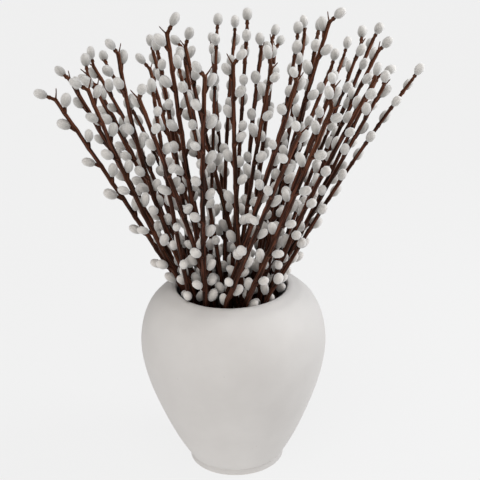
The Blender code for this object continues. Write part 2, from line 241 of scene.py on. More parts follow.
def makeVase():
    rings = vaseRings()
    deselectAll()
    bpy.ops.mesh.primitive_circle_add(vertices=vaseShape["segments"], radius=rings[0].x, fill_type="NGON",
                                      location=(0, 0, rings[0].y))
    vase = bpy.context.object
    bpy.ops.object.transform_apply(location=True, rotation=True, scale=True)
    startEdit(vase)
    for low, high in zip(rings, rings[1:]):
        extrudeTo(high.y - low.y, high.x / low.x)
    endEdit()
    bpy.ops.object.shade_smooth_by_angle(angle=vaseShape["sharpAngle"])
    return nameBoth(vase, "vaseBody")


vase = makeVase()
print("vase turned,", len(vase.data.polygons), "faces")

# Twigs: the rule that places them is the solids' own, with the same draws.
twigRows = [
    # The last catkin's x, y and z, its shoot's turn in degrees, x and y at the mouth, the bow towards +X and
    # the girth as a share. The lengths are millimetres.
    # front, leaning towards the viewer
    (-29, -150, 541, 209, -31, -53, -3, 1.05), (69, -190, 488, 211, -7, -60, -1, 1.00),
    (105, -160, 515, 135, 16, -59, 1, 1.10), (-84, -130, 515, 323, -24, -38, 2, 1.06),
    (19, -92, 540, 325, 11, -27, -2, 0.98), (72, -120, 526, 226, -6, -35, 1, 1.14),
    (161, -100, 523, 91, 46, -29, -6, 0.98), (-78, -92, 510, 98, -50, -36, -2, 0.92),
    (46, -70, 537, 127, 4, -20, -2, 0.92), (114, -82, 509, 226, 35, -24, -5, 1.04),
    # middle, left to right
    (-210, -20, 485, 182, -62, 0, 1, 0.98), (-163, -72, 508, 213, -57, -6, -5, 1.00),
    (-197, 60, 492, 127, -55, 17, 1, 1.08), (-160, 18, 515, 68, -41, 5, 1, 0.82),
    (-161, 92, 507, 307, -47, 27, 9, 0.90), (-127, -38, 542, 239, -50, -11, -11, 1.00),
    (-81, 62, 520, 98, -51, 18, 3, 1.02), (-52, -38, 569, 18, -34, -11, 0, 1.08),
    (-50, -64, 528, 97, -11, -19, 4, 0.84), (-42, 70, 532, 319, 19, 20, -4, 1.02),
    (-7, 60, 549, 87, -27, 17, -1, 0.80), (27, 18, 562, 93, 3, 5, -1, 0.88),
    (40, 22, 532, 250, 13, 6, -4, 0.96), (86, 32, 542, 92, 25, 9, 2, 0.90),
    (111, 24, 546, 80, 33, 7, 5, 0.98), (129, -22, 568, 311, 34, -6, -5, 0.98),
    (163, 60, 530, 103, 47, 17, 1, 0.84), (183, -10, 531, 284, 53, -3, -6, 0.90),
    (175, -60, 504, 233, 45, -17, 0, 0.86), (213, -46, 508, 252, 41, -46, -7, 0.80),
    # back, leaning away
    (-151, 130, 495, 81, -43, 38, 10, 0.82), (-181, 150, 461, 200, -46, 40, 0, 0.94),
    (-93, 142, 510, 278, -27, 41, 2, 0.96), (-64, 152, 507, 145, -19, 44, 0, 1.02),
    (12, 112, 536, 264, -8, 33, -5, 0.86), (63, 104, 525, 68, 18, 30, 4, 0.84),
    (99, 122, 532, 254, 29, 35, 6, 0.98), (138, 150, 484, 258, 40, 43, -5, 1.04),
    (153, 138, 501, 261, 44, 40, -1, 0.86), (187, 92, 527, 272, 54, 27, -1, 0.96),
    (200, 80, 478, 20, 56, 23, 0, 0.90), (-112, 190, 476, 220, -33, 52, 0, 1.04),
    (-18, 196, 500, 90, -5, 57, 0, 0.94), (72, 192, 494, 60, 20, 56, 0, 1.00),
]
growth = {
    "stemBase": 3.1 * mm,
    "stemTop": 2.2 * mm,
    "taperFrom": 0.4,  # share of the stem's length
    "shootLength": 10 * mm,
    "shootAngle": math.radians(36),
    "shootRadius": 1.9 * mm,
    "twigletLength": 12.5 * mm,
    "twigletAngle": math.radians(43),
    "catkinLength": 17.6 * mm,
    "catkinRadius": 5.7 * mm,
    "catkinAngle": math.radians(36),
    "closerAngle": 0.72,  # share of the angle, tried where a catkin finds no room
    "leanJitter": (-4, 5),  # degrees
    "turnJitter": 10,  # degrees either way
    "swings": [0, 18, -18, 36, -36, 56, -56, 78, -78, 104, -104, 132, -132, 160, -160],  # tried in this order
    "catkinSizes": (0.91, 1.07),
    "lastSize": 0.96,
    "lowerShrink": 0.08,
    "frontShrink": 0.8,  # for each metre towards the viewer
    "pegLength": 3.2 * mm,
    "firstNode": 18 * mm,
    "nodeSpacing": 25.3 * mm,
    "nodeJitter": 4 * mm,
    "lowestNode": vaseShape["mouthHeight"] - 25 * mm,
    "floorShare": 0.55,  # how far out the stems stand on the floor, as a share of their place at the mouth
    "floorCurve": 2.5,
    "stemSpacing": 12 * mm,
    "levelStep": 25 * mm,
    "curveSteps": 6,
    "topGap": 2 * mm,
    "alongStep": 2 * mm,
    "relaxRounds": 80,
    "relaxPush": 0.3,
    "rimGap": 1.2 * mm,
    "standingGap": 0.3 * mm,
    "clearance": 0.7 * mm,
    "stemStations": 4 * mm,
    "stemMargin": 0.9 * mm,
    "wallSteps": 8,
    "catkinBalls": [  # the room that a catkin takes: places along it, and radii
        (-2 * mm, 2.2 * mm), (1.5 * mm, 3.6 * mm), (5.5 * mm, 5.8 * mm), (9.5 * mm, 5.8 * mm),
        (13.1 * mm, 4.8 * mm),
    ],
    "seed": 11,
}


def shootSide(along, turn):
    right = (Vector((1, 0, 0)) - along * along.x).normalized()
    angle = math.radians(turn)
    return right * math.cos(angle) + along.cross(right) * math.sin(angle)


def leaning(along, side, angle):
    return along * math.cos(angle) + side * math.sin(angle)


def forkPoints():
    tops = []
    for x, y, z, turn, mouthX, mouthY, _, _ in twigRows:
        tip = Vector((x, y, z)) * mm
        mouth = Vector((mouthX * mm, mouthY * mm, vaseShape["mouthHeight"]))
        along = (tip - mouth).normalized()
        shoot = leaning(along, shootSide(along, turn), growth["shootAngle"])
        tops.append(tip - shoot * (growth["shootLength"] + growth["catkinLength"] / 2))
    return tops


def insideRadius(z):
    # How far out a stem's middle line may stand inside the vase.
    lipHeight = vaseShape["mouthHeight"] - vaseShape["wall"] / 2
    outline = [floorEdge()] + innerOutline() + [Vector((vaseShape["mouthRadius"], lipHeight))]
    room = np.interp(z, [p.y for p in outline], [p.x for p in outline])
    thickest = max(row[-1] for row in twigRows)
    low = z <= vaseShape["mouthHeight"] + growth["levelStep"] / 2
    return room - growth["stemBase"] * thickest - growth["rimGap"] if low else math.inf


def levelHeights(tops):
    # Where the stems are kept apart: from the floor to the mouth, and on past the highest fork.
    mouthHeight, step = vaseShape["mouthHeight"], growth["levelStep"]
    floor = vaseShape["floor"] + growth["standingGap"]
    below = round((mouthHeight - floor) / step)
    above = math.ceil((max(t.z for t in tops) - mouthHeight) / step) + 1
    return np.concatenate([np.linspace(floor, mouthHeight, below + 1),
                           mouthHeight + step * np.arange(1, above + 1)])


def firstPlaces(tops, heights):
    # Each stem's place at each level before the stems push each other apart.
    mouthHeight, share = vaseShape["mouthHeight"], growth["floorShare"]
    first = np.zeros((len(tops), len(heights), 2))
    for k, top in enumerate(tops):
        end = np.array(top[:2])
        mouthX, mouthY, bowX = twigRows[k][4:7]
        mouth = np.array((mouthX, mouthY)) * mm
        bow = np.array((bowX * mm, 0))
        for j, z in enumerate(heights):
            if z <= mouthHeight:
                first[k, j] = mouth * (share + (1 - share) * (z / mouthHeight) ** growth["floorCurve"])
            else:
                rise = (z - mouthHeight) / (top.z - mouthHeight)
                first[k, j] = mouth + (end - mouth) * rise + bow * 4 * rise * (1 - rise)
    return first


def relaxed(first, heights):
    # Stems that are too near push each other away, and the vase's wall holds them in.
    places = first.copy()
    count = len(first)
    limits = np.array([insideRadius(z) for z in heights])
    for _ in range(growth["relaxRounds"]):
        apart = places[:, None] - places[None]
        distance = np.linalg.norm(apart, axis=-1)
        distance[np.arange(count), np.arange(count)] = 1
        push = np.clip(growth["stemSpacing"] - distance, 0, None) / np.maximum(distance, 1e-6)
        moved = places + growth["relaxPush"] * (apart * push[..., None]).sum(axis=1) - first
        moved[:, 1:-1] = 0.5 * moved[:, 1:-1] + 0.25 * (moved[:, :-2] + moved[:, 2:])
        places = first + moved
        radius = np.linalg.norm(places, axis=-1)
        places *= np.minimum(1, limits / np.maximum(radius, 1e-6))[..., None]
    return places


def stemLines():
    tops = forkPoints()
    heights = levelHeights(tops)
    places = relaxed(firstPlaces(tops, heights), heights)
    lines = []
    for k, top in enumerate(tops):
        levels = [Vector((*places[k, j], z)) for j, z in enumerate(heights)]
        curve = throughPoints(levels, growth["curveSteps"])
        line = [p for p in curve if p.z < top.z - growth["topGap"]]
        zs = [p.z for p in curve]
        x, y = (np.interp(top.z, zs, [p[i] for p in curve]) for i in (0, 1))
        lines.append(line + [Vector((x, y, top.z))])
    return lines


class StemLine:
    # A stem's middle line, read by the distance along it.
    def __init__(self, points, girth):
        self.girth = girth
        self.points = np.array([tuple(p) for p in points])
        steps = np.linalg.norm(np.diff(self.points, axis=0), axis=1)
        self.at = np.concatenate([[0], np.cumsum(steps)])
        self.length = float(self.at[-1])

    def point(self, s):
        return Vector([np.interp(s, self.at, self.points[:, i]) for i in range(3)])

    def along(self, s):
        step = growth["alongStep"]
        return (self.point(min(s + step, self.length)) - self.point(s - step)).normalized()

    def radius(self, s):
        start = growth["taperFrom"]
        taper = (growth["stemTop"] - growth["stemBase"]) * max(0.0, s / self.length - start) / (1 - start)
        return self.girth * (growth["stemBase"] + taper)


def ballsOf(base, axis, size):
    balls = growth["catkinBalls"]
    centres = np.array([tuple(base + axis * (d * size)) for d, _ in balls])
    return centres, np.array([r * size for _, r in balls])


class Room:
    # What a catkin has to stay clear of: the stems, the vase and the catkins already placed.
    def __init__(self, lines):
        stations = [(k, line, s) for k, line in enumerate(lines)
                    for s in np.arange(0, line.length, growth["stemStations"])]
        self.stemPoints = np.array([tuple(line.point(s)) for _, line, s in stations])
        self.stemRadii = np.array([line.radius(s) + growth["stemMargin"] for _, line, s in stations])
        self.stemOf = np.array([k for k, _, _ in stations])
        wall = innerOutline() + lipOutline(vaseShape["lipFacets"]) + list(reversed(bodyOutline()))
        steps = growth["wallSteps"]
        dense = [a.lerp(b, t / steps) for a, b in zip(wall, wall[1:]) for t in range(steps)]
        self.wall = np.array([tuple(p) for p in dense])
        self.centres = np.zeros((0, 3))
        self.radii = np.zeros(0)

    def clear(self, k, centres, radii):
        others = self.stemOf != k
        for points, sizes in ((self.stemPoints[others], self.stemRadii[others]), (self.centres, self.radii)):
            gaps = np.linalg.norm(points[None] - centres[:, None], axis=-1) - sizes[None] - radii[:, None]
            if gaps.size and gaps.min() < growth["clearance"]:
                return False
        flat = np.stack([np.hypot(centres[:, 0], centres[:, 1]), centres[:, 2]], axis=1)
        gaps = np.linalg.norm(self.wall[None] - flat[:, None], axis=-1) - radii[:, None]
        return gaps.min() > growth["clearance"]

    def add(self, centres, radii):
        self.centres = np.concatenate([self.centres, centres])
        self.radii = np.concatenate([self.radii, radii])


def depthShare(place):
    # Catkins are a little smaller towards the front.
    return 1 + growth["frontShrink"] * min(0, place.y)


def seatCatkin(room, line, k, s, turn, draw):
    along = line.along(s)
    lower = 1 - growth["lowerShrink"] * (1 - s / line.length)
    size = draw.uniform(*growth["catkinSizes"]) * lower * depthShare(line.point(s))
    lean = growth["catkinAngle"] + math.radians(draw.uniform(*growth["leanJitter"]))
    turn += draw.uniform(-growth["turnJitter"], growth["turnJitter"])
    for angle in (lean, lean * growth["closerAngle"]):
        for swing in growth["swings"]:
            axis = leaning(along, shootSide(along, turn + swing), angle)
            base = line.point(s) + axis * (line.radius(s) / math.sin(angle) + growth["pegLength"])
            centres, radii = ballsOf(base, axis, size)
            if room.clear(k, centres, radii):
                room.add(centres, radii)
                return base, axis, size
    return None


def startTwig(line, turn):
    # A twig with its fork, shoot and twiglet, and no side catkins yet.
    fork, along = line.point(line.length), line.along(line.length)
    shoot = leaning(along, shootSide(along, turn), growth["shootAngle"])
    twiglet = leaning(along, shootSide(along, turn + 180), growth["twigletAngle"])
    end = fork + shoot * growth["shootLength"]
    return {"line": line, "turn": turn, "fork": fork, "along": along, "end": end, "shoot": shoot,
            "twiglet": twiglet, "lastSize": growth["lastSize"] * depthShare(end), "catkins": []}


def growTwigs():
    lines = [StemLine(points, row[-1]) for points, row in zip(stemLines(), twigRows)]
    room = Room(lines)
    grown = [startTwig(line, row[3]) for line, row in zip(lines, twigRows)]
    for twig in grown:
        room.add(*ballsOf(twig["end"], twig["shoot"], twig["lastSize"]))
    draw = random.Random(growth["seed"])
    for k, twig in enumerate(grown):
        s = twig["line"].length - growth["firstNode"]
        side = 180
        while twig["line"].point(s).z > growth["lowestNode"]:
            seated = seatCatkin(room, twig["line"], k, s, twig["turn"] + side, draw)
            if seated:
                twig["catkins"].append((s, seated))
            s -= growth["nodeSpacing"] + draw.uniform(-growth["nodeJitter"], growth["nodeJitter"])
            side = 180 - side
    return grown


twigs = growTwigs()
print("twigs placed,", sum(len(twig["catkins"]) for twig in twigs), "side catkins")

# Catkins: one egg, modelled once in each of four habits and copied.
catkinShape = {
    "segments": 10,
    "outline": [  # share of the length from the base, share of the widest radius
        (0.03, 0.40), (0.14, 0.70), (0.32, 0.94), (0.52, 1.0), (0.72, 0.92), (0.87, 0.70), (0.965, 0.39),
    ],
    "habits": [  # how far the tip leans over, how plump, how long
        (0.0, 0.99, 1.0), (1.1 * mm, 0.95, 1.02), (-0.8 * mm, 1.03, 0.97), (0.4 * mm, 1.07, 0.96),
    ],
}


def makeCatkinModel(name, lean, plump, long):
    # Each ring of a sphere is found by its height, shaped and set aside, so that it isn't found again.
    outline = catkinShape["outline"]
    poles = [(-1, (0.0, None)), (1, (1.0, None))]  # height on the sphere, share of the length, no width
    spans = len(outline) + 1
    length = growth["catkinLength"] * long
    aside = 10
    deselectAll()
    bpy.ops.mesh.primitive_uv_sphere_add(segments=catkinShape["segments"], ring_count=spans, radius=1)
    catkin = bpy.context.object
    startEdit(catkin)
    heights = [math.cos(math.pi * i / spans) for i in range(spans - 1, 0, -1)]
    for z, (share, wide) in list(zip(heights, outline)) + poles:
        selectVerts(catkin, lambda co: math.isclose(co.z, z, abs_tol=0.001))
        if wide:
            radius = growth["catkinRadius"] * wide * plump / math.sqrt(1 - z * z)
            bpy.ops.transform.resize(value=(radius, radius, 1), center_override=(0, 0, 0))
        bpy.ops.transform.translate(value=(lean * share ** 2, 0, share * length + aside - z))
    bpy.ops.mesh.select_all(action="SELECT")
    bpy.ops.transform.translate(value=(0, 0, -aside))
    endEdit()
    writeOwnPlace(catkin.data, readPoints(catkin.data))
    return nameBoth(catkin, name)


catkinModels = [makeCatkinModel(f"catkinModel{i}", *habit) for i, habit in enumerate(catkinShape["habits"])]
print("catkin models made")

# Pegs: the short dark spurs that carry the catkins, also modelled once.
pegShape = {
    "sides": 8,
    "length": 9 * mm,
    "rings": [  # share of the length, radius
        (0.0, 2.9 * mm), (0.38, 2.55 * mm), (0.62, 2.2 * mm), (0.80, 1.95 * mm), (0.86, 2.15 * mm),
        (0.93, 2.05 * mm), (1.0, 1.3 * mm),
    ],
    "darkFrom": 4.5 * mm,
    "intoCatkin": 1.6 * mm,
    "girthShare": 0.5,  # how much of its stem's girth a peg follows
    "patternStep": 10 * mm,  # each peg reads the patterns this far from the last one
    "end": {"below": 4 * mm, "tall": 0.6, "wide": 0.92, "pastFork": 20 * mm},
}


def makePegModel():
    rings = pegShape["rings"]
    deselectAll()
    bpy.ops.mesh.primitive_circle_add(vertices=pegShape["sides"], radius=rings[0][1], fill_type="NGON")
    peg = bpy.context.object
    startEdit(peg)
    for (low, radius), (high, nextRadius) in zip(rings, rings[1:]):
        extrudeTo((high - low) * pegShape["length"], nextRadius / radius)
    endEdit()
    writeOwnPlace(peg.data, readPoints(peg.data))
    spur = peg.data.attributes.new("spur", "FLOAT", "POINT")
    spur.data.foreach_set("value", [float(v.co.z > pegShape["darkFrom"]) for v in peg.data.vertices])
    return nameBoth(peg, "pegModel")


pegModel = makePegModel()
print("peg model made")

# Stems: each a tube drawn along its line, swollen a little at its nodes.
stemLook = {
    "bevelSteps": 3,
    "stepBelowMouth": 28 * mm,
    "stepAboveMouth": 9 * mm,
    "swelling": 0.12,
    "swellingReach": 5 * mm,
    "swellingFade": 1.4,  # times that reach, where it has gone
    "zigzag": 0.45 * mm,
    "topGap": 3 * mm,
    "forkSwelling": 1.12,
    "shoot": [(0.3, 1.06), (0.75, 1.0), (1.12, 1.04)],  # share of its length, share of its radius
}
twigletLook = {
    "bevelSteps": 1,
    "lengths": (0.85, 1.12),
    "rootRadius": 1.35 * mm,
    "tipRadius": 0.45 * mm,
    "taper": 0.6,
    "bud": (1.25, 0.5),  # the last two stations' share of their radius
    "stations": [0.0, 0.22, 0.45, 0.7, 0.88, 1.0],
    "curl": 1.6 * mm,
    "pastFork": (30 * mm, 10 * mm),  # where it reads the patterns, and how far it runs on there
}


def drawTube(name, points, radii, bevelSteps):
    deselectAll()
    bpy.ops.curve.primitive_nurbs_path_add()
    tube = bpy.context.object
    tube.data.splines.clear()
    spline = tube.data.splines.new("POLY")
    spline.points.add(len(points) - 1)
    for point, place, radius in zip(spline.points, points, radii):
        point.co = (*place, 1)
        point.radius = radius
    tube.data.bevel_depth = 1
    tube.data.bevel_resolution = bevelSteps
    tube.data.use_fill_caps = True
    bpy.ops.object.convert(target="MESH")
    tube = bpy.context.object
    startEdit(tube)
    bpy.ops.mesh.remove_doubles(threshold=0.001 * mm)
    endEdit()
    return nameBoth(tube, name)


def markTube(tube, points, downFromFork):
    # Across the tube, and down from the twig's fork.
    places = readPoints(tube.data)
    line = np.array([tuple(p) for p in points], np.float32)
    nearest = np.argmin(((places[:, None] - line[None]) ** 2).sum(axis=-1), axis=1)
    own = places - line[nearest]
    own[:, 2] = np.array(downFromFork, np.float32)[nearest]
    writeOwnPlace(tube.data, own)


def stemStations(twig):
    line = twig["line"]
    mouth = float(np.interp(vaseShape["mouthHeight"], line.points[:, 2], line.at))
    even = list(np.arange(0, mouth, stemLook["stepBelowMouth"]))
    even += list(np.arange(mouth, line.length, stemLook["stepAboveMouth"]))
    reach = stemLook["swellingReach"]
    atNodes = [s + d for s, _ in twig["catkins"] for d in (-reach, -reach / 3, reach / 3, reach)]
    kept = [s for s in even if all(abs(s - n) > reach / 2 for n in atNodes)]
    return sorted(kept + [s for s in atNodes if 0 < s < line.length - stemLook["topGap"]]) + [line.length]


def makeStem(twig):
    line = twig["line"]
    fade = stemLook["swellingReach"] * stemLook["swellingFade"]
    points, radii, down = [], [], []
    for s in stemStations(twig):
        point, radius = line.point(s), line.radius(s)
        for nodeAt, (_, axis, _) in twig["catkins"]:
            near = max(0.0, 1 - abs(s - nodeAt) / fade)
            side = (axis - line.along(nodeAt) * axis.dot(line.along(nodeAt))).normalized()
            point = point - side * stemLook["zigzag"] * near
            radius *= 1 + stemLook["swelling"] * near
        points.append(point)
        radii.append(radius)
        down.append(line.length - s)
    lean = (points[1] - points[0]).normalized()
    points[0].z += radii[0] * math.hypot(lean.x, lean.y)  # its slanted end stays above the floor
    radii[-1] = line.radius(line.length) * stemLook["forkSwelling"]
    for share, swell in stemLook["shoot"]:
        points.append(twig["fork"] + twig["shoot"] * growth["shootLength"] * share)
        radii.append(growth["shootRadius"] * line.girth * swell)
        down.append(-growth["shootLength"] * share)
    stem = drawTube("stem", points, radii, stemLook["bevelSteps"])
    markTube(stem, points, down)
    return stem


def makeTwiglet(twig, draw):
    way, stations = twig["twiglet"], twigletLook["stations"]
    curl = (twig["along"] - way * twig["along"].dot(way)).normalized()
    length = growth["twigletLength"] * draw.uniform(*twigletLook["lengths"])
    points = [twig["fork"] + way * length * t + curl * twigletLook["curl"] * t * t for t in stations]
    root, tip = twigletLook["rootRadius"], twigletLook["tipRadius"]
    radii = [root + (tip - root) * t ** twigletLook["taper"] for t in stations]
    for i, share in zip((-2, -1), twigletLook["bud"]):
        radii[i] *= share
    twiglet = drawTube("twiglet", points, radii, twigletLook["bevelSteps"])
    past, run = twigletLook["pastFork"]
    markTube(twiglet, points, [-past - run * t for t in stations])
    return twiglet


def standing(axis, at, roll, tall, wide):
    turned = axis.to_track_quat("Z", "X").to_matrix().to_4x4()
    return (Matrix.Translation(at) @ turned @ Matrix.Rotation(roll, 4, "Z")
            @ Matrix.Diagonal((wide, wide, tall, 1)))


def towards(axis, way):
    # The roll that turns a standing copy's +X towards a way.
    turned = axis.to_track_quat("Z", "X").to_matrix().transposed() @ way
    return math.atan2(turned.y, turned.x)


def pegWidth(line):
    return 1 - pegShape["girthShare"] + pegShape["girthShare"] * line.girth


def makePeg(line, s, base, axis, number):
    middle = line.point(s)
    length = (base - middle).length + pegShape["intoCatkin"]
    peg = copyOf(pegModel, standing(axis, middle, 0, length / pegShape["length"], pegWidth(line)))
    shiftOwnPlace(peg.data, (pegShape["patternStep"] * number, 0, line.length - s))
    return peg


def makeEndPeg(twig):
    # The rim of the shoot's end, under the last catkin.
    end = pegShape["end"]
    below = twig["end"] - twig["shoot"] * end["below"]
    wide = pegWidth(twig["line"]) * end["wide"]
    peg = copyOf(pegModel, standing(twig["shoot"], below, 0, end["tall"], wide))
    shiftOwnPlace(peg.data, (0, 0, -end["pastFork"]))
    return peg


# How each catkin is set on its peg.
catkinSetting = {
    "rollJitter": 0.4,  # radians either way
    "patternStep": 50 * mm,  # each catkin reads the patterns this far from the next one, in rows
    "patternColumns": 23,
    "seed": 23,
}


def makeCatkin(base, axis, size, outwards, number, draw):
    # A model that leans does so outwards, give or take the jitter.
    model = catkinModels[draw.randrange(len(catkinModels))]
    jitter, step = catkinSetting["rollJitter"], catkinSetting["patternStep"]
    roll = towards(axis, outwards) + draw.uniform(-jitter, jitter)
    catkin = copyOf(model, standing(axis, base, roll, size, size))
    row, column = divmod(number, catkinSetting["patternColumns"])
    shiftOwnPlace(catkin.data, (step * column, step * row, 0))
    return catkin


print("modelling tools ready")

# Materials: helpers for their nodes, then the groups that they share.


def addNode(tree, kind, **settings):
    node = tree.nodes.new(kind)
    for name, value in settings.items():
        setattr(node, name, value)
    return node


def setSocket(tree, socket, value):
    # Sets an input, or links it where the value is another node's socket.
    if isinstance(value, bpy.types.NodeSocket):
        tree.links.new(value, socket)
    else:
        socket.default_value = value


def feed(tree, node, **inputs):
    # An underscore stands for a space in an input's name.
    for name, value in inputs.items():
        setSocket(tree, node.inputs[name.replace("_", " ")], value)
    return node


def combine(tree, operation, a, b):
    node = addNode(tree, "ShaderNodeMath", operation=operation)
    for socket, value in zip(node.inputs, (a, b)):
        setSocket(tree, socket, value)
    return node.outputs["Value"]


def times(tree, a, b):
    return combine(tree, "MULTIPLY", a, b)


def weigh(tree, a, shareA, b, shareB):
    # The sum of two masks, each times its share.
    return combine(tree, "ADD", times(tree, a, shareA), times(tree, b, shareB))


def mapTo(tree, value, low, high, fromLow=0.0, fromHigh=1.0, shape="LINEAR"):
    node = feed(tree, addNode(tree, "ShaderNodeMapRange", interpolation_type=shape), Value=value,
                From_Min=fromLow, From_Max=fromHigh, To_Min=low, To_Max=high)
    return node.outputs["Result"]


def heightOf(tree, place):
    # The Z of a place, or how far down from the fork an own place is.
    return feed(tree, addNode(tree, "ShaderNodeSeparateXYZ"), Vector=place).outputs["Z"]


def mixColours(tree, mask, low, high):
    mix = addNode(tree, "ShaderNodeMix", data_type="RGBA")
    for socket, value in ((mix.inputs[0], mask), (mix.inputs[6], low), (mix.inputs[7], high)):
        setSocket(tree, socket, (*value, 1) if isinstance(value, tuple) else value)
    return mix.outputs[2]


def newGroup(name, numbers):
    # A group that reads a vector and named numbers, and puts out one mask.
    group = bpy.data.node_groups.new(name, "ShaderNodeTree")
    group.interface.new_socket("Vector", in_out="INPUT", socket_type="NodeSocketVector")
    for label, value in numbers.items():
        socket = group.interface.new_socket(label, in_out="INPUT", socket_type="NodeSocketFloat")
        socket.default_value = value
    group.interface.new_socket("Mask", in_out="OUTPUT", socket_type="NodeSocketFloat")
    return group, group.nodes.new("NodeGroupInput").outputs, group.nodes.new("NodeGroupOutput").inputs["Mask"]


def noiseMask(group, given, **settings):
    # Noise, spread from the given low to the given high.
    noise = feed(group, addNode(group, "ShaderNodeTexNoise"), **settings)
    return mapTo(group, noise.outputs["Fac"], 0.0, 1.0, given["Low"], given["High"], "SMOOTHSTEP")


def makeFibreGroup():
    # Fine streaks along Z, for the bark and the down.
    group, given, mask = newGroup("fibreStreaks", {"Across": 900.0, "Lengthwise": 60.0, "Rough Detail": 3.0,
                                                   "Low": 0.35, "High": 0.65})
    scales = feed(group, addNode(group, "ShaderNodeCombineXYZ"), X=given["Across"], Y=given["Across"],
                  Z=given["Lengthwise"])
    stretched = addNode(group, "ShaderNodeVectorMath", operation="MULTIPLY")
    group.links.new(given["Vector"], stretched.inputs[0])
    group.links.new(scales.outputs["Vector"], stretched.inputs[1])
    streaks = noiseMask(group, given, Vector=stretched.outputs["Vector"], Scale=1.0,
                        Detail=given["Rough Detail"], Roughness=0.6)
    group.links.new(streaks, mask)
    return group


def makeCloudGroup():
    # Soft patches, for the tone of every surface.
    group, given, mask = newGroup("cloudPatches", {"Scale": 20.0, "Detail": 2.0, "Low": 0.3, "High": 0.7})
    patches = noiseMask(group, given, Vector=given["Vector"], Scale=given["Scale"], Detail=given["Detail"],
                        Roughness=0.5)
    group.links.new(patches, mask)
    return group


def makeDotGroup():
    # Small round dots, kept only here and there, for the bark's lenticels and the glaze's specks.
    group, given, mask = newGroup("sparseDots", {"Scale": 200.0, "Full": 0.05, "Gone": 0.10,
                                                 "Patch Scale": 90.0, "Low": 0.58, "High": 0.64})
    dots = feed(group, addNode(group, "ShaderNodeTexVoronoi", feature="F1"), Vector=given["Vector"],
                Scale=given["Scale"], Randomness=1.0)
    dot = mapTo(group, dots.outputs["Distance"], 1.0, 0.0, given["Full"], given["Gone"])
    kept = noiseMask(group, given, Vector=given["Vector"], Scale=given["Patch Scale"], Detail=0.0,
                     Roughness=0.5)
    group.links.new(times(group, dot, kept), mask)
    return group


fibreGroup, cloudGroup, dotGroup = makeFibreGroup(), makeCloudGroup(), makeDotGroup()
print("shared node groups made")


def useGroup(tree, group, vector, values):
    node = addNode(tree, "ShaderNodeGroup", node_tree=group)
    return feed(tree, node, Vector=vector, **values).outputs["Mask"]


def startMaterial(name, colour):
    material = bpy.data.materials.new(name)
    material.use_nodes = True
    material.diffuse_color = (*colour, 1)
    return material, material.node_tree, material.node_tree.nodes["Principled BSDF"]


def finishMaterial(tree, shader, look, colour, wear, height):
    # The wear runs through the look's range of roughness, and the height becomes the bump.
    strength, distance = look["bump"]
    bump = feed(tree, addNode(tree, "ShaderNodeBump"), Height=height, Strength=strength, Distance=distance)
    feed(tree, shader, Base_Color=colour, Roughness=mapTo(tree, wear, *look["roughness"]),
         Normal=bump.outputs["Normal"], **look["shader"])


barkLook = {
    "dark": (0.0045, 0.0014, 0.0008),
    "warm": (0.128, 0.0445, 0.027),
    "streaks": {"Across": 750.0, "Lengthwise": 22.0, "Rough Detail": 2.0, "Low": 0.47, "High": 0.57},
    "patches": {"Scale": 26.0, "Detail": 3.0, "Low": 0.36, "High": 0.68},
    "streakShare": 0.75,  # of the tone; the rest is the patches'
    "young": (0.20, 0.072, 0.034),
    "youngDepth": 0.8,
    "youngFrom": (-30 * mm, 50 * mm),  # down from the fork: young to there, and not at all from there
    "youngOnDark": 0.35,  # share of it on the dark streaks
    "blush": {"Scale": 11.0, "Detail": 1.0, "Low": 0.50, "High": 0.78},
    "blushDepth": 0.55,
    "lenticel": (0.30, 0.18, 0.12),
    "lenticelDepth": 0.55,
    "lenticels": {"Scale": 300.0, "Full": 0.08, "Gone": 0.17, "Patch Scale": 160.0, "Low": 0.56,
                  "High": 0.62},
    "spur": (0.016, 0.006, 0.004),
    "spurDepth": 0.6,
    "paintedShadeLow": 0.5,  # painted shade: the bark is darker towards the mouth and below it, where it lies in shade
    "paintedShadeReach": 95 * mm,
    "roughness": (0.42, 0.62),
    "relief": (1.0, 1.6),  # streaks, lenticels
    "bump": (0.5, 0.25 * mm),
    "shader": {"Specular IOR Level": 0.14, "Specular Tint": (1.0, 0.62, 0.46, 1)},
}


def makeBarkMaterial():
    look = barkLook
    material, tree, shader = startMaterial("willowBark", look["warm"])
    own = addNode(tree, "ShaderNodeAttribute", attribute_name="ownPlace").outputs["Vector"]
    place = addNode(tree, "ShaderNodeTexCoord").outputs["Object"]
    streaks = useGroup(tree, fibreGroup, own, look["streaks"])
    patches = useGroup(tree, cloudGroup, place, look["patches"])
    tone = weigh(tree, streaks, look["streakShare"], patches, 1 - look["streakShare"])
    colour = mixColours(tree, tone, look["dark"], look["warm"])
    blush = times(tree, useGroup(tree, cloudGroup, place, look["blush"]), look["blushDepth"])
    youth = mapTo(tree, heightOf(tree, own), 1.0, 0.0, *look["youngFrom"])
    flush = times(tree, combine(tree, "MAXIMUM", youth, blush), look["youngDepth"])
    young = times(tree, flush, mapTo(tree, streaks, look["youngOnDark"], 1.0))
    colour = mixColours(tree, young, colour, look["young"])
    lenticels = useGroup(tree, dotGroup, place, look["lenticels"])
    colour = mixColours(tree, times(tree, lenticels, look["lenticelDepth"]), colour, look["lenticel"])
    spur = addNode(tree, "ShaderNodeAttribute", attribute_name="spur").outputs["Fac"]
    colour = mixColours(tree, times(tree, spur, look["spurDepth"]), colour, look["spur"])
    mouth, reach = vaseShape["mouthHeight"], look["paintedShadeReach"]
    # Painted shade: darker towards the mouth and inside the vase, where the bark lies in shade.
    old = mapTo(tree, heightOf(tree, place), look["paintedShadeLow"], 0.0, mouth - reach / 4, mouth + reach)
    colour = mixColours(tree, old, colour, look["dark"])
    relief = weigh(tree, streaks, look["relief"][0], lenticels, look["relief"][1])
    finishMaterial(tree, shader, look, colour, streaks, relief)
    return material


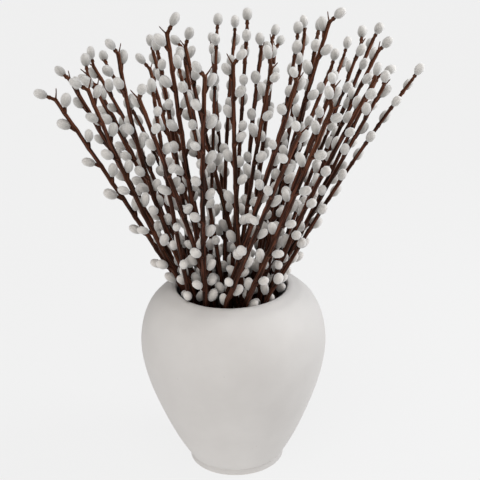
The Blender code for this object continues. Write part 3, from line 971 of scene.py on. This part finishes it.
downLook = {
    "deep": (0.26, 0.249, 0.229),
    "silver": (0.578, 0.553, 0.525),
    "pale": (0.86, 0.828, 0.79),
    # painted light: the warm pale that the lower catkins are lightened towards
    "paintedLightCream": (0.85, 0.785, 0.73),
    "hairs": {"Across": 1500.0, "Lengthwise": 170.0, "Rough Detail": 3.0, "Low": 0.30, "High": 0.70},
    "tufts": {"Across": 420.0, "Lengthwise": 150.0, "Rough Detail": 1.0, "Low": 0.32, "High": 0.66},
    "whole": {"Scale": 17.0, "Detail": 0.0, "Low": 0.35, "High": 0.65},  # from catkin to catkin
    "tuftTone": (0.5, 1.0),  # from deep to silver
    "hairTone": (0.0, 0.5),  # from there to pale
    "wholeTone": (0.0, 0.35),  # and on towards pale
    "shadedFoot": 0.9,
    "footReach": 14 * mm,
    "paintedLightLow": 0.65,  # painted light: the lower catkins are paler, standing in for light that the twigs above keep from them
    "paintedLightReach": 220 * mm,
    "roughness": (0.78, 0.95),
    "relief": (0.3, 0.4),  # tufts, hairs
    "bump": (0.5, 0.4 * mm),
    "shader": {"Sheen Weight": 1.0, "Sheen Roughness": 0.6, "Specular IOR Level": 0.2},
}


def makeDownMaterial():
    look = downLook
    material, tree, shader = startMaterial("catkinDown", look["silver"])
    own = addNode(tree, "ShaderNodeAttribute", attribute_name="ownPlace").outputs["Vector"]
    place = addNode(tree, "ShaderNodeTexCoord").outputs["Object"]
    hairs = useGroup(tree, fibreGroup, own, look["hairs"])
    tufts = useGroup(tree, fibreGroup, own, look["tufts"])
    whole = useGroup(tree, cloudGroup, own, look["whole"])
    colour = mixColours(tree, mapTo(tree, tufts, *look["tuftTone"]), look["deep"], look["silver"])
    colour = mixColours(tree, mapTo(tree, hairs, *look["hairTone"]), colour, look["pale"])
    colour = mixColours(tree, mapTo(tree, whole, *look["wholeTone"]), colour, look["pale"])
    mouth = vaseShape["mouthHeight"]
    # Painted light: the lower catkins are lightened towards a warm pale, where the twigs above shade them.
    paintedLightMask = mapTo(tree, heightOf(tree, place), look["paintedLightLow"], 0.0, mouth, mouth + look["paintedLightReach"])
    colour = mixColours(tree, paintedLightMask, colour, look["paintedLightCream"])
    foot = mapTo(tree, heightOf(tree, own), look["shadedFoot"], 0.0, 0.0, look["footReach"])
    colour = mixColours(tree, foot, colour, look["deep"])
    relief = weigh(tree, tufts, look["relief"][0], hairs, look["relief"][1])
    finishMaterial(tree, shader, look, colour, hairs, relief)
    return material


glazeLook = {
    "shade": (0.666, 0.639, 0.617),
    "light": (0.725, 0.699, 0.678),
    "clouds": {"Scale": 9.0, "Detail": 2.0, "Low": 0.32, "High": 0.68},
    "mottle": {"Scale": 42.0, "Detail": 4.0, "Low": 0.30, "High": 0.72},
    "cloudShare": 0.65,  # of the tone; the rest is the mottle's
    "speck": (0.42, 0.39, 0.36),
    "speckDepth": 0.5,
    "specks": {"Scale": 90.0, "Full": 0.03, "Gone": 0.07, "Patch Scale": 34.0, "Low": 0.60, "High": 0.66},
    "bisque": (0.60, 0.52, 0.43),  # the bare rim it stands on
    "bisqueReach": (0.2 * mm, 1.2 * mm),
    "grain": {"Scale": 900.0, "Detail": 2.0, "Low": 0.2, "High": 0.8},
    "roughness": (0.60, 0.74),
    "relief": (1.5, 0.03),  # clouds, grain
    "bump": (0.5, 0.4 * mm),
    "shader": {"Specular IOR Level": 0.4},
}


def makeGlazeMaterial():
    look = glazeLook
    material, tree, shader = startMaterial("mattGlaze", look["light"])
    place = addNode(tree, "ShaderNodeTexCoord").outputs["Object"]
    clouds = useGroup(tree, cloudGroup, place, look["clouds"])
    mottle = useGroup(tree, cloudGroup, place, look["mottle"])
    tone = weigh(tree, clouds, look["cloudShare"], mottle, 1 - look["cloudShare"])
    colour = mixColours(tree, tone, look["shade"], look["light"])
    specks = useGroup(tree, dotGroup, place, look["specks"])
    colour = mixColours(tree, times(tree, specks, look["speckDepth"]), colour, look["speck"])
    under = mapTo(tree, heightOf(tree, place), 1.0, 0.0, *look["bisqueReach"])
    colour = mixColours(tree, under, colour, look["bisque"])
    grain = useGroup(tree, cloudGroup, place, look["grain"])
    relief = weigh(tree, clouds, look["relief"][0], grain, look["relief"][1])
    finishMaterial(tree, shader, look, colour, mottle, relief)
    return material


bark, down, glaze = makeBarkMaterial(), makeDownMaterial(), makeGlazeMaterial()
print("materials made")

for model, look in [(pegModel, bark)] + [(model, down) for model in catkinModels]:
    model.data.materials.append(look)

# Each twig becomes two pieces: its wood, which stands for the solid, and its catkins.


def dressTwig(number, twig, firstCatkin, draw):
    # Goes from the last catkin down the stem, and returns how many there are.
    line = twig["line"]
    tubes = [makeStem(twig), makeTwiglet(twig, draw)]
    for tube in tubes:
        tube.data.materials.clear()
        tube.data.materials.append(bark)
    wood, soft = tubes + [makeEndPeg(twig)], []
    seated = [(line.length, (twig["end"], twig["shoot"], twig["lastSize"]))] + twig["catkins"]
    for catkinNumber, (s, (base, axis, size)) in enumerate(seated, start=firstCatkin):
        if s < line.length:
            wood.append(makePeg(line, s, base, axis, catkinNumber))
        soft.append(makeCatkin(base, axis, size, -line.along(s), catkinNumber, draw))
    woodPiece = joinAll(f"twig_{number:02d}_bark", wood)
    softPiece = joinAll(f"twig_{number:02d}_catkins", soft)
    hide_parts(f"twig_{number:02d}")
    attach(woodPiece, "root")
    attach(softPiece, "root")
    return len(soft)


catkinCount = 0
catkinDraw = random.Random(catkinSetting["seed"])
for number, twig in enumerate(twigs, start=1):
    catkinCount += dressTwig(number, twig, catkinCount, catkinDraw)
print("twigs grown,", catkinCount, "catkins")

for model in [pegModel] + catkinModels:
    bpy.data.objects.remove(model)

vase.data.materials.append(glaze)
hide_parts("vase")
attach(vase, "root")
print("vase glazed")

# Floor and light: a pale, even ground with soft light from above, the front and the right.
studio = {
    "floorSize": 30.0,
    "floorDrop": 0.3 * mm,  # below the vase's foot
    "floorColour": (0.07, 0.07, 0.07),
    "floorGlow": 0.82,
    "sky": 0.16,
    "skySeen": 0.88,  # as pale as the floor, where a low view looks past it
    "suns": [  # strength, colour, spread, and the azimuth and height it shines from, in degrees
        (1.3, (1.0, 0.99, 0.98), 45, -25, 75),
        (0.85, (1.0, 0.985, 0.96), 50, -20, 24),
    ],
    "softbox": {  # stands near the twigs on the right, aimed at their middle
        "power": 8.4,
        "colour": (0.97, 1.0, 1.03),
        "size": 0.5,
        "aim": (0, 0, 0.40),
        "azimuth": 95,
        "height": 25,
        "distance": 1.1,
    },
}


def layFloor():
    deselectAll()
    bpy.ops.mesh.primitive_plane_add(size=studio["floorSize"], location=(0, 0, -studio["floorDrop"]))
    floor = bpy.context.object
    floor.name = "studioFloor"
    material, tree, shader = startMaterial("paleGround", studio["floorColour"])
    feed(tree, shader, Base_Color=(*studio["floorColour"], 1), Emission_Color=(1, 1, 1, 1),
         Emission_Strength=studio["floorGlow"], Roughness=1.0, Specular_IOR_Level=0.0)
    floor.data.materials.append(material)


def lightRoom():
    # The camera sees a brighter room than the one that lights the twigs.
    world = bpy.data.worlds.new("softRoom")
    world.use_nodes = True
    tree = world.node_tree
    seen = addNode(tree, "ShaderNodeLightPath").outputs["Is Camera Ray"]
    feed(tree, tree.nodes["Background"], Color=(1, 1, 1, 1),
         Strength=mapTo(tree, seen, studio["sky"], studio["skySeen"]))
    bpy.context.scene.world = world


def addLamp(kind, energy, colour, azimuth, height, aim=(0, 0, 0), distance=0.0):
    # Azimuth 0 is the camera's side, and 90 is on the right.
    turn, rise = math.radians(azimuth), math.radians(height)
    source = Vector((math.sin(turn) * math.cos(rise), -math.cos(turn) * math.cos(rise), math.sin(rise)))
    bpy.ops.object.light_add(type=kind)
    lamp = bpy.context.object
    lamp.data.energy = energy
    lamp.data.color = colour
    lamp.matrix_world = (Matrix.Translation(Vector(aim) + source * distance)
                         @ source.to_track_quat("Z", "Y").to_matrix().to_4x4())
    return lamp


layFloor()
lightRoom()
for strength, colour, spread, azimuth, height in studio["suns"]:
    sun = addLamp("SUN", strength, colour, azimuth, height)
    sun.data.angle = math.radians(spread)
box = studio["softbox"]
softbox = addLamp("AREA", box["power"], box["colour"], box["azimuth"], box["height"], box["aim"],
                  box["distance"])
softbox.data.size = box["size"]
softbox.visible_camera = False
bpy.context.scene.view_settings.view_transform = "Standard"
print("studio lit")
